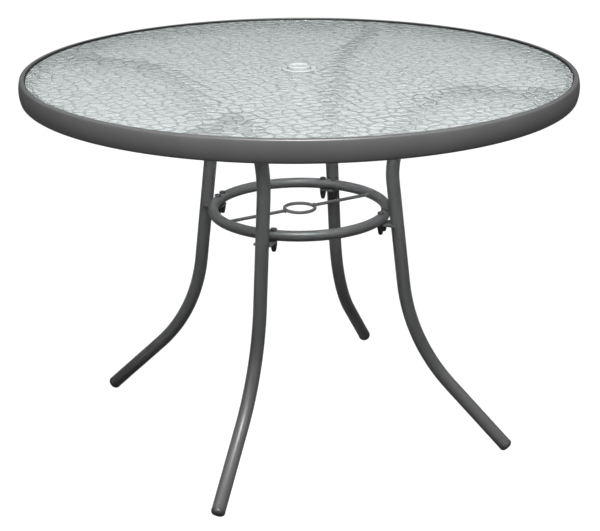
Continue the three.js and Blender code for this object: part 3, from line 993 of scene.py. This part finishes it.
class AddHoop(PieceOperator):
    """Rolls the bracing hoop"""

    bl_idname = "patio_table.hoop"
    bl_label = "Hoop"

    def build(self, context):
        brace = context.scene.patio_brace
        radius = hoop_tube_radius()
        place = Vector((HOOP_HIGH.x - radius, 0, centre_of("umbrella_loop").z))
        hoop = ring_of(place, radius, brace.hoop_section, brace.hoop_around)
        finish(hoop, "support_hoop_rolled", "coated_steel", ["support_hoop"])


def bead(brace, centre, axis, ring_radius, steps, sweep=math.tau, start=0.0):
    """A weld bead: a small round section swept round an axis, roughened like a run of weld."""
    along = axis.normalized()
    # An upright axis starts from +X, a level one from any side
    upright = abs(along.z) > math.sqrt(0.5)
    side = Vector((1, 0, 0)) if upright else along.orthogonal().normalized()
    side = (side - along * side.dot(along)).normalized()
    side = Matrix.Rotation(start, 3, along) @ side
    facing = along.cross(side).to_track_quat("Z", "Y").to_euler()
    weld = add(
        bpy.ops.mesh.primitive_circle_add,
        vertices=brace.weld_section,
        radius=brace.weld,
        fill_type="NGON" if sweep < math.tau else "NOTHING",
        location=centre + side * ring_radius,
        rotation=facing,
    )
    bpy.ops.mesh.spin(steps=steps, angle=sweep, center=centre, axis=-along)
    clean()
    texture = bpy.data.textures.get("weld_run") or bpy.data.textures.new("weld_run", "CLOUDS")
    texture.noise_scale = brace.weld
    modify(weld, "DISPLACE", texture=texture, texture_coords="LOCAL", strength=brace.weld / 2)
    return weld


class AddLoopAndRods(PieceOperator):
    """Bends the guide loop, cuts its two rods and welds them to loop and hoop"""

    bl_idname = "patio_table.loop"
    bl_label = "Loop and rods"

    def build(self, context):
        brace = context.scene.patio_brace
        wire = brace.rod / 2
        centre = Vector((0, 0, centre_of("umbrella_loop").z))
        outer = max(radii_of("umbrella_loop"))
        place = centre + Vector((outer - wire, 0, 0))
        loop = ring_of(place, wire, brace.wire_section, brace.loop_around)
        finish(loop, "umbrella_loop_bent", "coated_steel", ["umbrella_loop"])
        hoop = HOOP_HIGH.x - 2 * hoop_tube_radius()
        sink = brace.weld / 2
        for side, azimuth in (("right", brace.rod_turn), ("left", brace.rod_turn + math.pi)):
            along = Vector((math.cos(azimuth), math.sin(azimuth), 0))
            start, end = outer - sink, hoop + sink
            rod = add(
                bpy.ops.mesh.primitive_circle_add,
                vertices=brace.wire_section,
                radius=wire,
                fill_type="NGON",
                location=centre + along * start,
                rotation=along.to_track_quat("Z", "Y").to_euler(),
            )
            go_straight(along, end - start)
            clean()
            finish(rod, f"hoop_rod_{side}_cut", "coated_steel", [f"hoop_rod_{side}"])
            for place, distance in (("loop", outer), ("hoop", hoop)):
                weld = bead(brace, centre + along * distance, along, wire, brace.rod_weld_steps)
                finish(weld, f"weld_{place}_{side}", "coated_steel")


def shin_point(legs, height):
    """A point on the straight shin's centre line, at azimuth 0."""
    start = leg_path(legs)[1]
    return start + (start.z - height) * Vector((math.tan(legs.lean), 0, -1))


class AddHoopTabs(PieceOperator):
    """Cuts the tabs between hoop and legs, notches them round the legs and welds them on"""

    bl_idname = "patio_table.hoop_tabs"
    bl_label = "Hoop tabs"

    def build(self, context):
        legs, brace = context.scene.patio_legs, context.scene.patio_brace
        tab = self.cut(legs, brace)
        welds = [self.weld(legs, brace, height) for height in (TAB_HIGH.z, TAB_LOW.z)]
        for corner, azimuth in CORNERS.items():
            turned = Matrix.Rotation(azimuth, 4, "Z")
            twin = copy_to(tab, turned)
            finish(twin, f"hoop_tab_{corner}_cut", "coated_steel", [f"hoop_tab_{corner}"])
            for name, weld in zip(("top", "foot"), welds):
                finish(copy_to(weld, turned), f"weld_tab_{corner}_{name}", "coated_steel")
        for piece in (tab, *welds):
            discard(piece)

    def cut(self, legs, brace):
        """One tab at azimuth 0."""
        half = brace.tab_width / 2
        inner = self.inner_end()
        outer = shin_point(legs, TAB_HIGH.z).x
        corner = brace.tab_corner
        # Outlines are drawn upright and then laid flat
        points = [
            profile(outer, -half),
            profile(outer, half),
            *arc(profile(inner + corner, half - corner), corner, 90, 180, brace.corner_steps),
            *arc(profile(inner + corner, corner - half), corner, 180, 270, brace.corner_steps),
        ]
        tab = draw_outline([Vector((p.x, p.z, TAB_LOW.z)) for p in points])
        bpy.ops.mesh.edge_face_add()
        go_straight(Vector((0, 0, 1)), TAB_HIGH.z - TAB_LOW.z)
        clean()
        leg_notch = legs.diameter / 2 + TOUCH_GAP
        self.notch(brace, tab, shin_point(legs, TAB_LOW.z), legs.lean, leg_notch)
        to_azimuth_0 = Matrix.Rotation(-CORNERS["front_right"], 4, "Z")
        for index in ("1", "2"):
            place = to_azimuth_0 @ centre_of(f"hoop_bolt_front_right_{index}")
            self.notch(brace, tab, Vector((place.x, place.y, TAB_LOW.z)), 0, brace.bolt_hole / 2)
        break_edges(tab, brace.edge)
        return tab

    def inner_end(self):
        """Distance of a tab's inner end from the table's axis."""
        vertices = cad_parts["hoop_tab_front_right"].data.vertices
        azimuth = CORNERS["front_right"]
        return min(v.co.x * math.cos(azimuth) + v.co.y * math.sin(azimuth) for v in vertices)

    def notch(self, brace, tab, centre, lean, radius):
        """Cuts a round notch or hole through a tab."""
        cutter = add(
            bpy.ops.mesh.primitive_cylinder_add,
            vertices=brace.notch_around,
            radius=radius,
            depth=CUTTER_LENGTHS * (TAB_HIGH.z - TAB_LOW.z),
            location=centre,
            rotation=(0, -lean, 0),
        )
        modify(tab, "BOOLEAN", object=cutter, operation="DIFFERENCE", solver="EXACT")
        discard(cutter)

    def weld(self, legs, brace, height):
        """A bead where a tab's face meets its leg, on the side towards the hoop."""
        axis = Vector((-math.sin(legs.lean), 0, math.cos(legs.lean)))
        return bead(
            brace,
            shin_point(legs, height),
            axis,
            legs.diameter / 2,
            brace.tab_weld_steps,
            sweep=brace.tab_weld,
            start=math.pi - brace.tab_weld / 2,
        )


def bolt_piece(node, brace):
    """A dome-headed bolt at the origin, its head's seat at height 0 and its shank below."""
    low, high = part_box(node)
    head = (high.x - low.x) / 2
    shank = high.z - low.z - brace.bolt_head
    rise = brace.bolt_head - brace.bolt_head_edge
    turns = [math.pi / 2 * i / brace.dome_steps for i in range(brace.dome_steps)]
    bolt = spin(
        [
            profile(0, -shank),
            profile(brace.bolt / 2, -shank),
            profile(brace.bolt / 2, 0),
            profile(head, 0),
            *[
                profile(head * math.cos(angle), brace.bolt_head_edge + rise * math.sin(angle))
                for angle in turns
            ],
            profile(0, brace.bolt_head),
        ],
        brace.bolt_around,
        closed=False,
    )
    break_edges(bolt, brace.bolt_edge)
    return bolt


class AddBolts(PieceOperator):
    """Turns the dome-headed bolts of the hoop and of the saddles"""

    bl_idname = "patio_table.bolts"
    bl_label = "Bolts"

    def build(self, context):
        brace = context.scene.patio_brace
        for kind, upward in (("hoop_bolt", True), ("saddle_bolt", False)):
            bolt = bolt_piece(f"{kind}_front_right_1", brace)
            for corner in CORNERS:
                for index in ("1", "2"):
                    node = f"{kind}_{corner}_{index}"
                    twin = copy_to(bolt, self.place(node, brace, upward))
                    finish(twin, f"{node}_turned", "bolt_steel", [node])
            discard(bolt)

    def place(self, node, brace, upward):
        """Where a bolt's seat is, with its head up or down."""
        low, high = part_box(node)
        centre = centre_of(node)
        if upward:
            return Matrix.Translation((centre.x, centre.y, high.z - brace.bolt_head))
        seat = Matrix.Translation((centre.x, centre.y, low.z + brace.bolt_head))
        return seat @ Matrix.Rotation(math.pi, 4, "X")


class AddCapNuts(PieceOperator):
    """Moulds the black tapering caps over the nuts under the tabs"""

    bl_idname = "patio_table.cap_nuts"
    bl_label = "Cap nuts"

    def build(self, context):
        brace = context.scene.patio_brace
        low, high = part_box("cap_nut_front_right_1")
        body, tip = (high.x - low.x) / 2, brace.nut_tip / 2
        drop = high.z - low.z
        rounding = brace.nut_tip_round
        nut = spin(
            [
                profile(0, -drop),
                *arc(profile(tip - rounding, rounding - drop), rounding, -90, 0, brace.tip_steps),
                profile(body, -brace.nut_collar),
                profile(body, 0),
                profile(brace.bolt_hole / 2, 0),
                profile(brace.bolt_hole / 2, -brace.nut_bore),
                profile(0, -brace.nut_bore),
            ],
            brace.bolt_around,
            closed=False,
        )
        break_edges(nut, brace.edge)
        for corner in CORNERS:
            for index in ("1", "2"):
                node = f"cap_nut_{corner}_{index}"
                centre = centre_of(node)
                twin = copy_to(nut, Matrix.Translation((centre.x, centre.y, high.z)))
                finish(twin, f"{node}_moulded", "nut_plastic", [node])
        discard(nut)


# Stage


# Place, as seen from the camera's side of the table, in metres, and power in watts
SOFTBOXES = {
    "key_light": ((0.1, -2.1, 4.1), 465),
    "fill_light": ((-2.6, -2.4, 2.6), 30),
    "side_light": ((3.0, -1.6, 2.8), 30),
}


class SetStage(PieceOperator):
    """Lays the pale floor, hangs soft studio lights and sets the camera"""

    bl_idname = "patio_table.stage"
    bl_label = "Stage"

    def build(self, context):
        stage = context.scene.patio_stage
        self.floor(context.scene.patio_colours, stage)
        self.sky(context.scene)
        front = Matrix.Rotation(stage.azimuth, 3, "Z")
        for name, (place, watts) in SOFTBOXES.items():
            self.light(name, front @ Vector(place), Vector((0, 0, stage.aim)), stage.softbox, watts)
        self.camera(context.scene, stage)
        context.scene.view_settings.view_transform = "Standard"

    def floor(self, colours, stage):
        """A lit white table top, as product studios use: pale, and almost without shadows."""
        deselect()
        bpy.ops.mesh.primitive_plane_add(size=stage.floor_size, location=(0, 0, -stage.floor_drop))
        floor = bpy.context.active_object
        floor.name = floor.data.name = "studio_floor"
        # Its own colour is dark, so that the key light on it doesn't brighten the table from below
        sheet, tree, shader, place = new_material(
            "lit_acrylic_sheet",
            {"Base Color": (*colours.floor, 1), "Emission Color": (1, 1, 1, 1)},
        )
        # It glows to the eye, also through the glass, but throws little light up at the table
        path = add_node(tree, "ShaderNodeLightPath")
        mirrored = add_node(
            tree,
            "ShaderNodeMath",
            {0: path.outputs["Is Glossy Ray"], 1: path.outputs["Is Transmission Ray"]},
            operation="SUBTRACT",
        )
        bounced = add_node(
            tree,
            "ShaderNodeMath",
            {0: path.outputs["Is Diffuse Ray"], 1: mirrored.outputs["Value"]},
            operation="MAXIMUM",
        )
        glow = add_node(
            tree,
            "ShaderNodeMapRange",
            {"Value": bounced.outputs["Value"], "To Min": 0.98, "To Max": 0.05},
        )
        tree.links.new(glow.outputs["Result"], shader.inputs["Emission Strength"])
        noise = add_node(tree, "ShaderNodeTexNoise", {"Vector": place, "Scale": 3.0})
        ends = {"To Min": 0.8, "To Max": 0.9}
        gloss = add_node(tree, "ShaderNodeMapRange", {"Value": noise.outputs["Fac"], **ends})
        tree.links.new(gloss.outputs["Result"], shader.inputs["Roughness"])
        floor.data.materials.append(sheet)

    def sky(self, scene):
        """Studio air: bright overhead and dim at the walls, as under a ceiling softbox."""
        world = bpy.data.worlds.new("studio_air")
        world.use_nodes = True
        tree = world.node_tree
        sky = tree.nodes["Background"]
        direction = add_node(tree, "ShaderNodeTexCoord").outputs["Generated"]
        height = add_node(tree, "ShaderNodeSeparateXYZ", {0: direction}).outputs["Z"]
        light = add_node(
            tree,
            "ShaderNodeMapRange",
            {"Value": height, "From Min": 0.1, "From Max": 0.9, "To Min": 0.025, "To Max": 0.5},
            interpolation_type="SMOOTHSTEP",
        )
        tree.links.new(light.outputs["Result"], sky.inputs["Strength"])
        sky.inputs["Color"].default_value = (1, 1, 1, 1)
        scene.world = world

    def light(self, name, place, target, size, watts):
        """A round softbox that points at the table."""
        deselect()
        facing = (target - place).to_track_quat("-Z", "Y").to_euler()
        bpy.ops.object.light_add(type="AREA", location=place, rotation=facing)
        light = bpy.context.active_object
        light.name = light.data.name = name
        light.data.shape = "DISK"
        light.data.size = size
        light.data.energy = watts

    def camera(self, scene, stage):
        """The camera at the photograph's viewing angle."""
        deselect()
        bpy.ops.object.camera_add()
        camera = bpy.context.active_object
        camera.name = camera.data.name = "photo_camera"
        camera.data.sensor_width = stage.sensor
        camera.data.lens = stage.lens
        away = Vector((math.sin(stage.azimuth), -math.cos(stage.azimuth), 0)) * stage.distance
        camera.matrix_world = (
            Matrix.Translation(away + Vector((0, 0, stage.height)))
            @ Matrix.Rotation(stage.azimuth, 4, "Z")
            @ Matrix.Rotation(math.pi / 2 + stage.pitch, 4, "X")
            @ Matrix.Rotation(stage.roll, 4, "Z")
        )
        scene.camera = camera


# Panel and registration

GROUPS = {
    "patio_top": PatioTableTop,
    "patio_legs": PatioTableLegs,
    "patio_brace": PatioTableBrace,
    "patio_colours": PatioTableColours,
    "patio_stage": PatioTableStage,
}
OPERATORS = [
    AddRim,
    AddGlass,
    AddGasket,
    AddHoleRing,
    AddHoleCap,
    AddLegs,
    AddFootPlugs,
    AddSaddles,
    AddHoop,
    AddLoopAndRods,
    AddHoopTabs,
    AddBolts,
    AddCapNuts,
    SetStage,
]


class PatioTablePanel(bpy.types.Panel):
    """Lists the table's settings and its pieces"""

    bl_idname = "VIEW3D_PT_patio_table"
    bl_label = "Patio Table"
    bl_space_type = "VIEW_3D"
    bl_region_type = "UI"
    bl_category = "Patio Table"

    def draw(self, context):
        for group, kind in GROUPS.items():
            box = self.layout.box()
            box.label(text=group.replace("_", " ").capitalize())
            for setting in kind.__annotations__:
                box.prop(getattr(context.scene, group), setting)
        for operator in OPERATORS:
            self.layout.operator(operator.bl_idname)


def register():
    for kind in (*GROUPS.values(), *OPERATORS, PatioTablePanel):
        bpy.utils.register_class(kind)
    for group, kind in GROUPS.items():
        setattr(bpy.types.Scene, group, PointerProperty(type=kind))


def unregister():
    for group in GROUPS:
        delattr(bpy.types.Scene, group)
    for kind in reversed((*GROUPS.values(), *OPERATORS, PatioTablePanel)):
        bpy.utils.unregister_class(kind)


def main():
    register()
    for operator in OPERATORS:
        group, name = operator.bl_idname.split(".")
        getattr(getattr(bpy.ops, group), name)()


if __name__ == "__main__":
    main()
